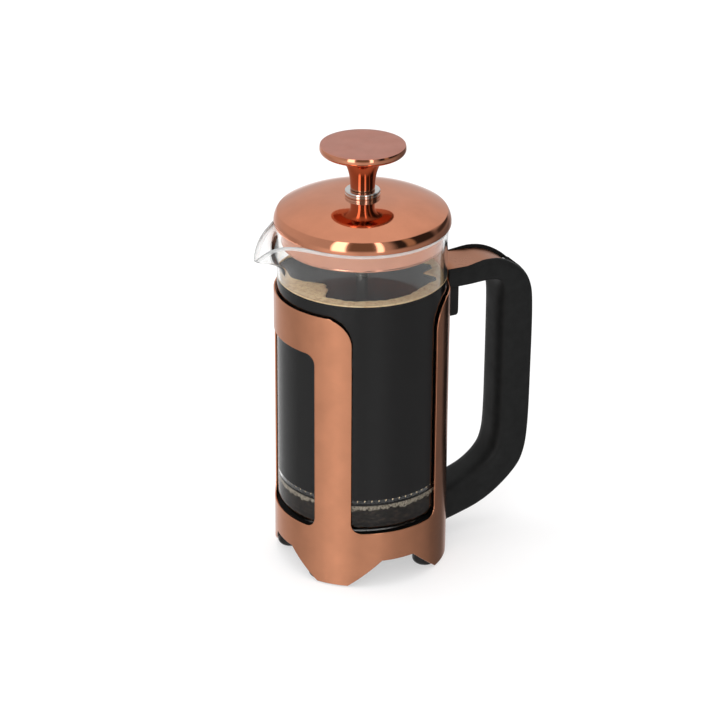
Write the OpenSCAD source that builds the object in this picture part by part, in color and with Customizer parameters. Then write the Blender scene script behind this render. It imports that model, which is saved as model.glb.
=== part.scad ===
// French press: a glass beaker in a rolled sheet frame with a D handle, a lid and a plunger.
// Z is up. The origin is on the table, in the middle of the footprint. +X points to the handle.

/* [Frame] */
// Outer radius of the rolled sheet
frame_r = 37.2; // [37:0.1:38]
// Thickness of the sheet
sheet_t = 0.7; // [0.5:0.1:0.7]
// Height of the frame's top edge
frame_h = 124.7; // [122:0.1:126]
// Lower edge of the band under the windows
band_lo = 12.5; // [11:0.5:14]
// Upper edge of the band under the windows
band_hi = 26; // [25:0.5:28]
// Lower edge of the bands at the top of the two closed windows
window_top = 106.7; // [100:0.1:108]
// Half angle of every window, seen from the axis
window_half = 32.25; // [30:0.25:34]
// Corner radius of the windows
window_corner = 4.5; // [3:0.5:6]
// Corner radius of the posts at the open sides
post_corner = 12.2; // [10:0.1:13]
// Half angle of an arch between two legs, at its top
arch_top_half = 11.5; // [9:0.5:13]
// Half angle of an arch between two legs, at the table
arch_foot_half = 35.6; // [33:0.1:37]
// Gap between the legs' sheet and the table
leg_gap = 0.6; // [0.3:0.1:1]

/* [Strap] */
// Height of the strap's upper face on the handle
strap_top = 128.8; // [128.6:0.1:129.2]
// Width of the strap where it leaves the frame
strap_w_root = 18.5; // [16:0.5:19]
// Width of the strap at its end
strap_w_end = 13; // [11:0.5:14]
// Radius of the bend where the strap turns outwards
strap_bend = 4.2; // [3:0.1:5]
// Radius of the strap over the shoulder of the handle
strap_shoulder = 22; // [20:0.5:23]
// Distance from the axis to the start of the shoulder
strap_flat_end = 54; // [52:0.5:55]
// Angle that the strap follows round the shoulder
strap_sweep = 50; // [40:1:54]

/* [Base] */
// Height of the tray face that carries the beaker
tray_top = 24; // [23:0.1:24.5]
// Thickness of the tray floor
tray_floor = 3; // [2:0.1:4]
// Radius of a foot
foot_r = 5.4; // [5.2:0.1:5.6]
// Height of a foot
foot_h = 11; // [10:0.5:12]
// Rounding of a foot's lower edge
foot_round = 2.5; // [1:0.1:2.6]
// Distance from the axis to the middle of a foot
foot_ring = 30.9; // [28:0.1:31]
// Angle of the feet on the handle's side, seen from the axis
foot_front = 52; // [45:1:56]
// Angle of the feet on the lip's side, seen from the axis
foot_back = 149; // [130:1:150]

/* [Handle] */
// Width of the arm where it meets the frame
arm_w = 21.5; // [21:0.5:24]
// Width of the grip
grip_w = 19.5; // [18:0.5:22]
// Distance from the axis to the outside of the grip
handle_reach = 79.6; // [78:0.1:82]
// Thickness of the grip, from inside to outside
grip_t = 17.4; // [15:0.1:18]
// Thickness of the arm
arm_t = 10.4; // [9.8:0.1:11]
// Roundness of the grip's section: 1 is an ellipse, smaller is squarer
grip_round = 0.62; // [0.5:0.01:1]
// Roundness of the arm's section
arm_round = 0.3; // [0.28:0.01:0.6]
// Length of the tongue below the arm
tongue_len = 13.6; // [8:0.1:14]

/* [Beaker] */
// Outer radius of the glass
glass_r = 35.8; // [35.6:0.1:36]
// Wall thickness of the glass
glass_wall = 1.5; // [1.2:0.1:1.8]
// Thickness of the glass floor
glass_floor = 2.6; // [2:0.1:3]
// Outer radius of the corner round the glass floor
glass_corner = 6; // [4:0.5:7]
// Height of the glass rim
rim_z = 153.8; // [153:0.1:154]
// Flare of the rim
rim_flare = 0.4; // [0.2:0.1:0.5]
// How far the spout stands out beyond the rim
spout_out = 13.6; // [9:0.1:14]
// How far the tip of the spout is below the rim
spout_drop = 8.8; // [5:0.1:9]
// Angle that sets the width of the spout
spout_width = 15; // [12:0.5:18]
// Height of the spout's flare on the wall
spout_height = 22; // [18:1:26]

/* [Lid] */
// Radius of the lid
lid_r = 37.1; // [36.9:0.1:37.6]
// Radius of the lid's curved side
shoulder_r = 8; // [7:0.1:9]
// Radius of the turn between the lid's dome and its side
turn_r = 1.2; // [1:0.1:2]
// Height of the lid's flat middle
lid_top = 166; // [165.5:0.1:167]
// Thickness of the lid's sheet
lid_t = 0.8; // [0.6:0.1:1]
// Radius of the skirt inside the glass
skirt_r = 33.9; // [33.5:0.1:34]
// Lower edge of the skirt
skirt_z = 145.4; // [144:0.1:148]
// Radius of the collar on the lid
collar_r = 7.4; // [7:0.1:8]
// Height of the collar
collar_h = 2.6; // [2:0.1:3]

/* [Plunger] */
// Radius of the rod
rod_r = 2.5; // [2.3:0.1:3]
// Radius of the knob's disc
knob_r = 18; // [17:0.1:19]
// Height of the knob's top
knob_top = 188.2; // [187:0.1:190]
// Thickness of the knob's disc
knob_disc = 3.8; // [3:0.1:4.5]
// Radius of the knob's stem at the waist
stem_r = 5.2; // [4.8:0.1:6]
// Radius of the knob's stem under the disc
stem_top_r = 10.3; // [9:0.1:11]
// Rounding of the disc's lower edge
disc_round = 2; // [1:0.1:2.5]
// Height of the underside of the filter screen
filter_z = 36; // [34:0.5:40]
// Radius of the filter screen
screen_r = 33.7; // [33:0.1:33.8]
// Radius of the coil's section
coil_r = 1.9; // [1.5:0.1:2.1]

/* [Hidden] */
$fn = 96;

// Gap between two faces of one body that touch
touch = 0.05;
// Radial clearance of the rod in the collar
running = 0.05;
bore_r = glass_r - glass_wall;
spout_tip = glass_r + rim_flare + spout_out;
// The beaker's axis, which puts the middle of the footprint on the origin
axis_x = (spout_tip - handle_reach) / 2;
sheet_in = frame_r - sheet_t;
glass_z = tray_top + 0.1;
lid_z = rim_z + 0.1;
plate_t = 0.8;
coil_z = filter_z + 3.9;
coil_ring = bore_r - 0.5 - coil_r;
// A self-tapping screw: radii of its head and its shank
screw_head_r = 2.2;
screw_r = 1.3;
base_screw_z = 18.4;
FEET = [foot_front, foot_back, 360 - foot_back, 360 - foot_front];
steel = "#c9c9cc";
copper = "#cd8964";
black = "#1e1e1f";

function arc(cx, cy, r, from, to, steps) =
    [for (i = [0:steps]) let (a = from + (to - from) * i / steps) [cx + r * cos(a), cy + r * sin(a)]];
function mirrored(points) = [for (i = [len(points) - 1:-1:0]) [-points[i][0], points[i][1]]];
// The flat width that a stretch u of the rolled sheet covers, seen square on
function seen(u) = frame_r * sin(u / frame_r * 180 / PI);

module on_axis() translate([axis_x, 0, 0]) children();

// Extrudes an outline in Y and Z outwards along +X
module outwards(from, to) translate([from, 0, 0]) rotate([90, 0, 90]) linear_extrude(to - from) children();

// Extrudes an outline in X and Z across the handle
module across(width) rotate([90, 0, 0]) linear_extrude(width, center = true) children();

// A nut with a round hole
module nut(r, hole, z, h) translate([0, 0, z]) difference() {
    cylinder(r = r, h = h, $fn = 6);
    translate([0, 0, -1]) cylinder(r = hole, h = h + 2);
}

// ---- Frame

module window_cut() {
    half = seen(window_half * PI / 180 * frame_r);
    low = arc(half - window_corner, band_hi + window_corner, window_corner, -90, 0, 6);
    high = arc(half - window_corner, window_top - window_corner, window_corner, 0, 90, 6);
    right = concat(low, high);
    outwards(8, frame_r + 4) polygon(concat(right, mirrored(right)));
}

module open_side_cut() {
    u = window_half * PI / 180 * frame_r;
    half = seen(u);
    low = arc(half - window_corner, band_hi + window_corner, window_corner, -90, 0, 6);
    corner = arc(u + post_corner, frame_h - post_corner, post_corner, 180, 90, 10);
    post = [for (p = corner) [seen(p[0]), p[1]]];
    over = [[post[10][0], frame_h + 3]];
    right = concat(low, post, over);
    outwards(8, frame_r + 4) polygon(concat(right, mirrored(right)));
}

module arch_cut() {
    top = frame_r * sin(arch_top_half);
    foot = frame_r * sin(arch_foot_half);
    below = foot + (foot - top) / band_lo;
    outwards(8, frame_r + 4) polygon([[-below, -1], [-top, band_lo], [top, band_lo], [below, -1]]);
}

// The strap's section along the handle, between its upper face and one `depth` below it
function strap_line(depth) = let (
        bend = arc(sheet_in + strap_bend, strap_top - strap_bend, strap_bend - depth, 180, 90, 6),
        over = arc(strap_flat_end, strap_top - strap_shoulder, strap_shoulder - depth, 90,
            90 - strap_sweep, 12))
    concat([[sheet_in + depth, frame_h - 4]], bend, over);

module strap_plan(extra) {
    root = strap_w_root / 2 + extra;
    end = strap_w_end / 2 + extra;
    tip = strap_flat_end + strap_shoulder * sin(strap_sweep) + 2;
    linear_extrude(200) polygon([[30, -root], [46, -root], [tip, -end], [tip, end], [46, root], [30, root]]);
}

module strap() {
    under = strap_line(sheet_t);
    back = [for (i = [len(under) - 1:-1:0]) under[i]];
    intersection() {
        across(40) polygon(concat(strap_line(0), back));
        strap_plan(0);
    }
}

module strap_screw_place() {
    tilt = strap_sweep - 9;
    translate([strap_flat_end, 0, strap_top - strap_shoulder]) rotate([0, tilt, 0])
        translate([0, 0, strap_shoulder]) children();
}

module frame_shell() color(copper) on_axis() difference() {
    union() {
        difference() {
            translate([0, 0, leg_gap]) cylinder(r = frame_r, h = frame_h - leg_gap);
            cylinder(r = sheet_in, h = 200);
            for (a = [0, 180]) rotate([0, 0, a]) window_cut();
            for (a = [90, 270]) rotate([0, 0, a]) open_side_cut();
            for (a = [0:90:270]) rotate([0, 0, a]) arch_cut();
        }
        strap();
    }
    translate([30, 0, base_screw_z]) rotate([0, 90, 0]) cylinder(r = screw_r + touch, h = 12);
    strap_screw_place() translate([0, 0, -4]) cylinder(r = screw_r + touch, h = 8);
}

// ---- Base

module at_foot(number) rotate([0, 0, FEET[number - 1]]) translate([foot_ring, 0, 0]) children();
module at_feet() for (number = [1:4]) at_foot(number) children();

module base_tray() color(black) on_axis() difference() {
    union() {
        translate([0, 0, tray_top - tray_floor]) cylinder(r = sheet_in - touch, h = tray_floor);
        translate([0, 0, tray_top - 8.5]) cylinder(r = sheet_in - touch, h = 8.5);
        at_feet() translate([0, 0, foot_h + touch]) cylinder(r = foot_r - 0.4, h = tray_top - foot_h - 1);
    }
    // The hollow under the floor, which leaves a wall round it
    difference() {
        translate([0, 0, tray_top - 9]) cylinder(r = sheet_in - 3, h = 9 - tray_floor);
        at_feet() translate([0, 0, foot_h]) cylinder(r = foot_r - 0.4, h = 20);
    }
    at_feet() translate([0, 0, foot_h - 1]) cylinder(r = screw_r, h = 12);
    translate([30, 0, base_screw_z]) rotate([0, 90, 0]) cylinder(r = screw_r + touch, h = 12);
}

module foot(number) color(black) on_axis() at_foot(number) difference() {
    rotate_extrude() {
        square([foot_r - foot_round, foot_h]);
        translate([0, foot_round]) square([foot_r, foot_h - foot_round]);
        translate([foot_r - foot_round, foot_round]) circle(foot_round);
    }
    translate([0, 0, -1]) cylinder(r = screw_r + touch, h = foot_h + 2);
    translate([0, 0, -1]) cylinder(r = screw_head_r + 0.2, h = 4);
}

module foot_screws() color(steel) on_axis() at_feet() {
    translate([0, 0, 1.2]) cylinder(r = screw_head_r, h = 1.8 - touch);
    translate([0, 0, 2]) cylinder(r = screw_r - touch, h = foot_h + 6);
}

// ---- Handle

// Stations of the handle: [inner x, inner z, outer x, outer z, width, roundness]
grip_in = handle_reach - grip_t;
arm_hi = strap_top + 1.6;
arm_lo = arm_hi - arm_t;
mid_round = (arm_round + grip_round) / 2;
HANDLE = [
    [35, arm_lo, 35, arm_hi - 0.7, arm_w, arm_round],
    [46, arm_lo, 46, arm_hi - 0.7, arm_w, arm_round],
    [54, arm_lo + 0.2, 55.5, arm_hi, arm_w - 0.4, arm_round],
    [59.8, arm_lo - 0.6, 64.2, arm_hi - 2.1, arm_w - 0.8, arm_round + 0.04],
    [61.7, arm_lo - 3.4, 72.6, arm_hi - 7.8, grip_w + 0.6, mid_round],
    [grip_in, arm_lo - 8.5, handle_reach - 1.8, arm_hi - 15.6, grip_w + 0.3, mid_round + 0.1],
    [grip_in, 103, handle_reach, 103, grip_w, grip_round],
    [grip_in, 75, handle_reach, 75, grip_w, grip_round],
    [grip_in - 0.3, 50, handle_reach - 0.6, 45.5, grip_w, grip_round],
    [grip_in - 1.6, 39.5, handle_reach - 3, 31.4, grip_w, grip_round],
    [grip_in - 5, 33.8, handle_reach - 8.4, 23.2, grip_w - 0.4, grip_round],
    [grip_in - 11, 29.4, handle_reach - 18, 15, grip_w - 1, grip_round],
    [44.7, 26, 50.5, 10.4, grip_w - 1.5, mid_round],
    [35, 22.4, 35, 6.6, grip_w - 1.5, mid_round]];
section_steps = 28;
span_steps = 4;

// A smooth curve through four values
function through(a, b, c, d, t) =
    0.5 * (2 * b + (c - a) * t + (2 * a - 5 * b + 4 * c - d) * t * t + (3 * b - a - 3 * c + d) * t * t * t);
function station(i) = HANDLE[max(0, min(len(HANDLE) - 1, i))];
function station_at(i, t) = [for (k = [0:5])
    through(station(i - 1)[k], station(i)[k], station(i + 1)[k], station(i + 2)[k], t)];
function rounded(v, roundness) = sign(v) * pow(abs(v), roundness);
function section(s) = [for (k = [0:section_steps - 1])
    let (a = 360 * k / section_steps, n = 0.5 + 0.5 * rounded(cos(a), s[5]))
    [s[0] + (s[2] - s[0]) * n, s[4] / 2 * rounded(sin(a), s[5]), s[1] + (s[3] - s[1]) * n]];
rings = [for (i = [0:len(HANDLE) - 2], j = [0:span_steps - 1]) section(station_at(i, j / span_steps))];
all_rings = concat(rings, [section(HANDLE[len(HANDLE) - 1])]);

module swept(sections) {
    n = len(sections[0]);
    last = len(sections) - 1;
    walls = [for (i = [0:last - 1], k = [0:n - 1]) each [
        [i * n + k, i * n + (k + 1) % n, (i + 1) * n + k],
        [i * n + (k + 1) % n, (i + 1) * n + (k + 1) % n, (i + 1) * n + k]]];
    near = [for (k = [1:n - 2]) [0, k + 1, k]];
    far = [for (k = [1:n - 2]) [last * n, last * n + k, last * n + k + 1]];
    polyhedron([for (s = sections) each s], concat(walls, near, far));
}

module channel() {
    under = strap_line(sheet_t + touch);
    tip = under[len(under) - 1];
    shoulder_end = [tip[0] + 3, tip[1] + 1];
    intersection() {
        across(40) polygon(concat(under, [shoulder_end, [tip[0] + 3, 150], [30, 150], [30, frame_h - 4]]));
        strap_plan(0.25);
    }
}

module tongue() {
    width = arm_w - 1.6;
    low = arm_lo - tongue_len;
    outwards(35, 41) {
        translate([-width / 2, low + 3]) square([width, tongue_len]);
        translate([3 - width / 2, low]) square([width - 6, 4]);
        for (s = [-1, 1]) translate([s * (width / 2 - 3), low + 3]) circle(3);
    }
}

module handle() color(black) on_axis() difference() {
    union() {
        swept(all_rings);
        tongue();
    }
    cylinder(r = frame_r + touch, h = 200);
    channel();
    translate([30, 0, base_screw_z]) rotate([0, 90, 0]) cylinder(r = screw_r, h = 20);
    strap_screw_place() translate([0, 0, -8.5]) cylinder(r = screw_r, h = 12);
}

module strap_screw() color(steel) on_axis() strap_screw_place() {
    translate([0, 0, touch]) cylinder(r1 = screw_head_r, r2 = screw_head_r - 0.6, h = 0.6);
    translate([0, 0, -7.5]) cylinder(r = screw_r - touch, h = 7.7);
}

module base_screw() color(steel) on_axis() translate([sheet_in - 3 - 1.4, 0, base_screw_z])
    rotate([0, 90, 0]) {
        cylinder(r = screw_head_r, h = 1.3);
        cylinder(r = screw_r - touch, h = 17);
    }

// ---- Beaker

// Share of the spout at an angle from its middle: 1 at the tip, 0 on the plain wall
function lip(angle) = exp(-pow(abs(angle) / spout_width, 1.4));
function spout_rise(z) = let (t = max(0, (z - rim_z + spout_height) / spout_height)) t * t * (3 - 2 * t) * t;

// The glass wall's own section, from the middle of the floor outside, over the rim, to the middle inside.
// Each point is [radius, height].
inner_corner = glass_corner - glass_wall;
wall_levels = [0.35, 0.6, 0.8, 0.88, 0.93, 0.97];
glass_lo = glass_z + glass_corner;
function wall_z(share) = glass_lo + (rim_z - 0.7 - glass_lo) * share;
function flare(z) = rim_flare * pow(max(0, 1 - (rim_z - z) / 9), 2);
outside = concat([[glass_r - glass_corner - 8, glass_z]],
    arc(glass_r - glass_corner, glass_z + glass_corner, glass_corner, -90, 0, 4),
    [for (s = wall_levels) [glass_r + flare(wall_z(s)), wall_z(s)]]);
lip_round = [for (a = [0:45:180])
    [glass_r + rim_flare - glass_wall / 2 + glass_wall / 2 * cos(a), rim_z - 0.7 + 0.7 * sin(a)]];
inside = concat(
    [for (i = [len(wall_levels) - 1:-1:0]) let (z = wall_z(wall_levels[i])) [bore_r + flare(z), z]],
    arc(bore_r - inner_corner, glass_z + glass_floor + inner_corner, inner_corner, 0, -90, 4),
    [[bore_r - inner_corner - 8, glass_z + glass_floor]]);
glass_line = concat(outside, lip_round, inside);
angle_steps = 90;
// Angles are closer together near the spout, which points along -X
function ring_angle(k) = let (t = 2 * k / angle_steps - 1) 180 * (0.45 * t + 0.55 * t * t * t);
function glass_point(p, angle) = let (
        share = lip(angle) * spout_rise(p[1]),
        r = p[0] + spout_out * share,
        z = p[1] - spout_drop * pow(lip(angle), 3) * spout_rise(p[1]))
    [-r * cos(angle), -r * sin(angle), z];
glass_rings = [for (p = glass_line) [for (k = [0:angle_steps - 1]) glass_point(p, ring_angle(k))]];

module beaker() color([0.86, 0.9, 0.92, 0.35]) on_axis() swept(glass_rings);

// ---- Lid

flat_r = 8;
// The side curves up from upright to `side_end`, and the dome takes over at `dome_end`
shoulder_z = lid_z + 0.7;
side_end = 34;
dome_end = 59;
turn_x = lid_r - shoulder_r + (shoulder_r - turn_r) * cos(side_end);
turn_z = shoulder_z + (shoulder_r - turn_r) * sin(side_end);
dome_r = turn_x + turn_r * cos(dome_end);
dome_drop = lid_top - turn_z - turn_r * sin(dome_end);
// The dome runs into the turn without an edge
dome_power = (dome_r - flat_r) / dome_drop / tan(dome_end);
// The lid's outer line, from its flat middle to its lower edge, moved in by `depth`
function lid_line(depth) = concat([[flat_r, lid_top - depth]],
    [for (i = [1:11]) let (t = i / 12)
        [flat_r + (dome_r - flat_r) * t, lid_top - depth - dome_drop * pow(t, dome_power)]],
    arc(turn_x, turn_z, turn_r - depth, dome_end, side_end, 4),
    arc(lid_r - shoulder_r, shoulder_z, shoulder_r - depth, side_end - 5, 0, 6),
    [[lid_r - depth, lid_z + 0.1]]);

module lid_cover() color(copper) on_axis() difference() {
    rotate_extrude() {
        under = lid_line(lid_t);
        back = [for (i = [len(under) - 1:-1:0]) under[i]];
        polygon(concat([[0, lid_top]], lid_line(0), back, [[0, lid_top - lid_t]]));
    }
    translate([0, 0, 100]) cylinder(r = 4 + touch, h = 100);
}

module lid_insert() color(copper) on_axis() difference() {
    union() {
        translate([0, 0, lid_z]) cylinder(r = lid_r - lid_t - touch, h = plate_t);
        translate([0, 0, skirt_z]) cylinder(r = skirt_r, h = lid_z - skirt_z + 0.2);
    }
    translate([0, 0, skirt_z - 1]) cylinder(r = skirt_r - lid_t, h = lid_z - skirt_z + 1);
    translate([0, 0, 100]) cylinder(r = 4 + touch, h = 100);
}

module lid_collar() color(steel) on_axis() difference() {
    union() {
        rotate_extrude() polygon([[0, lid_top + touch], [collar_r, lid_top + touch],
            [collar_r, lid_top + 1], [collar_r - 0.25, lid_top + 1.15], [collar_r, lid_top + 1.3],
            [collar_r, lid_top + collar_h - 0.6], [collar_r - 0.5, lid_top + collar_h - 0.1],
            [collar_r - 1.4, lid_top + collar_h], [0, lid_top + collar_h]]);
        translate([0, 0, lid_z - 4.2]) cylinder(r = 4, h = lid_top - lid_z + 4.4);
    }
    translate([0, 0, 100]) cylinder(r = rod_r + running, h = 100);
}

module collar_nut() color(steel) on_axis() nut(7, 4 + touch, lid_z - 3.2, 3.1);

// ---- Plunger

stem_z = lid_top + collar_h + 0.1;
disc_z = knob_top - knob_disc;
// Height of the rod's upper end inside the knob
rod_end = 180;

module knob() color(copper) on_axis() difference() {
    rotate_extrude() polygon(concat([[0, stem_z], [stem_r - 0.3, stem_z], [stem_r, stem_z + 0.4]],
        [for (i = [1:10]) let (t = i / 10)
            [stem_r + (stem_top_r - stem_r) * pow(t, 2.4), stem_z + 0.4 + (disc_z - stem_z - 0.4) * t]],
        arc(knob_r - disc_round, disc_z + disc_round, disc_round, -90, 0, 6),
        [[knob_r, knob_top - 0.4], [knob_r - 0.1, knob_top - 0.22], [knob_r - 0.35, knob_top - 0.12],
            [knob_r - 6, knob_top - 0.05], [0, knob_top]]));
    translate([0, 0, 100]) cylinder(r = rod_r + touch / 2, h = rod_end - 100 + touch);
}

module plunger_rod() color(steel) on_axis() translate([0, 0, filter_z - 5])
    cylinder(r = rod_r, h = rod_end - filter_z + 5);

module plate_nut() color(steel) on_axis() nut(6.4, rod_r + touch / 2, filter_z + 0.45 + plate_t, 3.6);

// A ring of round holes
module hole_ring(count, ring, r) for (i = [0:count - 1]) rotate([0, 0, 360 * i / count])
    translate([ring, 0, filter_z - 2]) cylinder(r = r, h = 8);

module spiral_plate() color(steel) on_axis() difference() {
    union() {
        translate([0, 0, filter_z + 0.4]) cylinder(r = coil_ring - coil_r - 0.1, h = 3);
        translate([0, 0, filter_z + 0.4]) cylinder(r = coil_ring, h = plate_t);
    }
    translate([0, 0, filter_z + 0.4 + plate_t]) cylinder(r = coil_ring - coil_r - 0.8, h = 4);
    hole_ring(16, 24, 2);
    hole_ring(8, 14, 2);
    translate([0, 0, filter_z - 1]) cylinder(r = rod_r + touch / 2, h = 8);
}

module coil_spring() color(steel) on_axis() translate([0, 0, coil_z]) rotate_extrude()
    translate([coil_ring, 0]) circle(coil_r, $fn = 32);

module mesh_screen() color(steel) on_axis() difference() {
    translate([0, 0, filter_z]) cylinder(r = screen_r, h = 2.4);
    translate([0, 0, filter_z + 0.35]) cylinder(r = screen_r - 0.35, h = 4);
    translate([0, 0, filter_z - 1]) cylinder(r = rod_r + touch / 2, h = 8);
}

module cross_plate() color(steel) on_axis() difference() {
    translate([0, 0, filter_z - 1]) cylinder(r = 31, h = 1 - touch);
    for (a = [0:60:300]) rotate([0, 0, a]) translate([0, 0, filter_z - 3])
        linear_extrude(6) polygon(concat(arc(0, 0, 27.5, -23, 23, 6), arc(0, 0, 10, 17, -17, 3)));
    translate([0, 0, filter_z - 3]) cylinder(r = rod_r + touch / 2, h = 8);
}

module rod_end_nut() color(steel) on_axis() nut(6, rod_r + touch / 2, filter_z - 4.6, 3.5);

frame_shell();
base_tray();
foot(1);  // foot_1
foot(2);  // foot_2
foot(3);  // foot_3
foot(4);  // foot_4
foot_screws();
handle();
strap_screw();
base_screw();
beaker();
lid_cover();
lid_insert();
lid_collar();
collar_nut();
knob();
plunger_rod();
plate_nut();
spiral_plate();
coil_spring();
mesh_screen();
cross_plate();
rod_end_nut();
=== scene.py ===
"""French press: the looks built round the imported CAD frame.

Z is up, +X points to the handle and the pouring lip points along -X. Lengths in this file are in
millimetres round the beaker's axis, and piece() turns them into metres in the shared frame.
"""

import math

import bmesh
import bpy
import numpy as np
from mathutils import Matrix, Vector


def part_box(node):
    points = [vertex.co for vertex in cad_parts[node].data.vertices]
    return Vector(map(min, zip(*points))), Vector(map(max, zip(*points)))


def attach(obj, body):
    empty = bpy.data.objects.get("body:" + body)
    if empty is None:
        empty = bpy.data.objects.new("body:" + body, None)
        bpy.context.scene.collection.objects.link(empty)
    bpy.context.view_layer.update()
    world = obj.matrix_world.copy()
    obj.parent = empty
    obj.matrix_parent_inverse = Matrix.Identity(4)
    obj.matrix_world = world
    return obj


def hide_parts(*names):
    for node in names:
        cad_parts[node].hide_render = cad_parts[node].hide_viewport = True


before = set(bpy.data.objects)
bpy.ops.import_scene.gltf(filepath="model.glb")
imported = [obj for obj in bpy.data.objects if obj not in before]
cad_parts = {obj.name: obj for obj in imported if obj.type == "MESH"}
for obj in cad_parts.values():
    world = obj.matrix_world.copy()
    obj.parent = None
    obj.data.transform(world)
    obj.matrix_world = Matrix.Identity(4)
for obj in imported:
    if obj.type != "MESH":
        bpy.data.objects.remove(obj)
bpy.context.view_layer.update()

MM = 0.001
_knob_lo, _knob_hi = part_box("knob")
AXIS_X = (_knob_lo.x + _knob_hi.x) / 2
HANDLE_REACH = (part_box("handle")[1].x - AXIS_X) / MM

# The same sizes as the CAD part
FRAME_R, SHEET_T, FRAME_H = 37.2, 0.7, 124.7
SHEET_IN = FRAME_R - SHEET_T
BAND_LO, BAND_HI, WINDOW_TOP = 12.5, 26.0, 106.7
WINDOW_HALF, WINDOW_CORNER, POST_CORNER = 32.25, 4.5, 12.2
ARCH_TOP, ARCH_FOOT, LEG_GAP = 11.5, 35.6, 0.6
STRAP_TOP, STRAP_BEND, STRAP_SHOULDER = 128.8, 4.2, 22.0
STRAP_FLAT_END, STRAP_SWEEP, STRAP_W_ROOT, STRAP_W_END = 54.0, 50.0, 18.5, 13.0
# The handle's arms start this far out, and between here and ARM_START they lie against the round frame
ARM_SEAT, ARM_START = 35, 46
GLASS_R, GLASS_WALL, GLASS_FLOOR, GLASS_CORNER = 35.8, 1.5, 2.6, 6.0
GLASS_Z, RIM_Z, RIM_FLARE = 24.1, 153.8, 0.4
SPOUT_OUT, SPOUT_DROP, SPOUT_WIDTH, SPOUT_HEIGHT = 13.6, 8.8, 15.0, 22.0
BORE_R = GLASS_R - GLASS_WALL
LID_R, LID_Z, LID_TOP, LID_T, SHOULDER_R, TURN_R = 37.1, 153.9, 166.0, 0.8, 8.0, 1.2
SKIRT_R, SKIRT_Z, COLLAR_R, COLLAR_H = 33.9, 145.4, 7.4, 2.6
ROD_R, KNOB_R, KNOB_TOP, KNOB_DISC, DISC_ROUND = 2.5, 18.0, 188.2, 3.8, 2.0
STEM_R, STEM_TOP_R = 5.2, 10.3
FILTER_Z, SCREEN_R, COIL_R = 36.0, 33.7, 1.9
FOOT_R, FOOT_H, FOOT_RING, FOOT_ROUND = 5.4, 11.0, 30.9, 2.5
FEET = (52, 149, 211, 308)
TOUCH = 0.05
COFFEE_Z = 130.2


# ---- Materials

class Nodes:
    """The calls that materials and the world share for making nodes in self.tree."""

    def add(self, kind, inputs=None, **props):
        node = self.tree.nodes.new(kind)
        for key, value in props.items():
            setattr(node, key, value)
        for key, value in (inputs or {}).items():
            if isinstance(value, bpy.types.NodeSocket):
                self.tree.links.new(value, node.inputs[key])
            else:
                node.inputs[key].default_value = value
        return node

    def math(self, operation, a, b=0.0):
        return self.add("ShaderNodeMath", {0: a, 1: b}, operation=operation).outputs[0]

    def ramp(self, value, stops):
        """A colour that follows value. Each stop is (place from 0 to 1, colour)."""
        node = self.add("ShaderNodeValToRGB", {"Fac": value})
        points = node.color_ramp.elements
        points[0].position, points[1].position = stops[0][0], stops[-1][0]
        for place, colour in stops[1:-1]:
            points.new(place)
        for point, (place, colour) in zip(points, stops):
            point.color = (*colour, 1)
        return node.outputs["Color"]

    def mix(self, share, a, b):
        """Mixes two colours, each a socket or three numbers."""
        a, b = (c if isinstance(c, bpy.types.NodeSocket) else (*c, 1) for c in (a, b))
        return self.add("ShaderNodeMix", {"Factor": share, 6: a, 7: b}, data_type="RGBA").outputs[2]


class Look(Nodes):
    """A node material on one Principled shader. Constants go directly on the shader's own sockets."""

    def __init__(self, name, **sockets):
        self.mat = bpy.data.materials.new(name)
        self.mat.use_nodes = True
        self.tree = self.mat.node_tree
        self.shader = self.tree.nodes["Principled BSDF"]
        self.out = self.tree.nodes["Material Output"]
        for key, value in sockets.items():
            self.shader.inputs[key.replace("_", " ")].default_value = value
        self.place = self.add("ShaderNodeTexCoord").outputs["Object"]

    def stretched(self, stretch):
        return self.add("ShaderNodeMapping", {"Vector": self.place, "Scale": stretch}).outputs[0]

    def noise(self, size, detail=3.0, stretch=(1, 1, 1), distortion=0.0):
        """Noise whose features are about size millimetres wide, longer where stretch is below 1."""
        node = self.add("ShaderNodeTexNoise", {
            "Vector": self.stretched(stretch), "Scale": 1 / (size * MM), "Detail": detail,
            "Distortion": distortion})
        return node.outputs["Fac"]

    def cells(self, size):
        inputs = {"Vector": self.stretched((1, 1, 1)), "Scale": 1 / (size * MM)}
        return self.add("ShaderNodeTexVoronoi", inputs).outputs["Distance"]

    def remap(self, value, low, high, start=0.3, end=0.7):
        return self.add("ShaderNodeMapRange", {
            "Value": value, "From Min": start, "From Max": end, "To Min": low, "To Max": high}).outputs[0]

    def mottle(self, tint, size, detail, low, high):
        """Colours it with the tint, from low to high times as bright, in blotches size millimetres wide."""
        stops = [(0.3, shade(tint, low)), (0.7, shade(tint, high))]
        self.set("Base Color", self.ramp(self.noise(size, detail), stops))

    def attribute(self, name):
        return self.add("ShaderNodeAttribute", attribute_name=name).outputs["Fac"]

    def set(self, key, socket):
        self.tree.links.new(socket, self.shader.inputs[key])

    def bump(self, height, strength, depth, under=None):
        """Bump with features about depth millimetres high."""
        inputs = {"Height": height, "Strength": strength, "Distance": depth * MM}
        if under is not None:
            inputs["Normal"] = under
        return self.add("ShaderNodeBump", inputs).outputs["Normal"]


def shade(colour, factor):
    return tuple(c * factor for c in colour)


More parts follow.
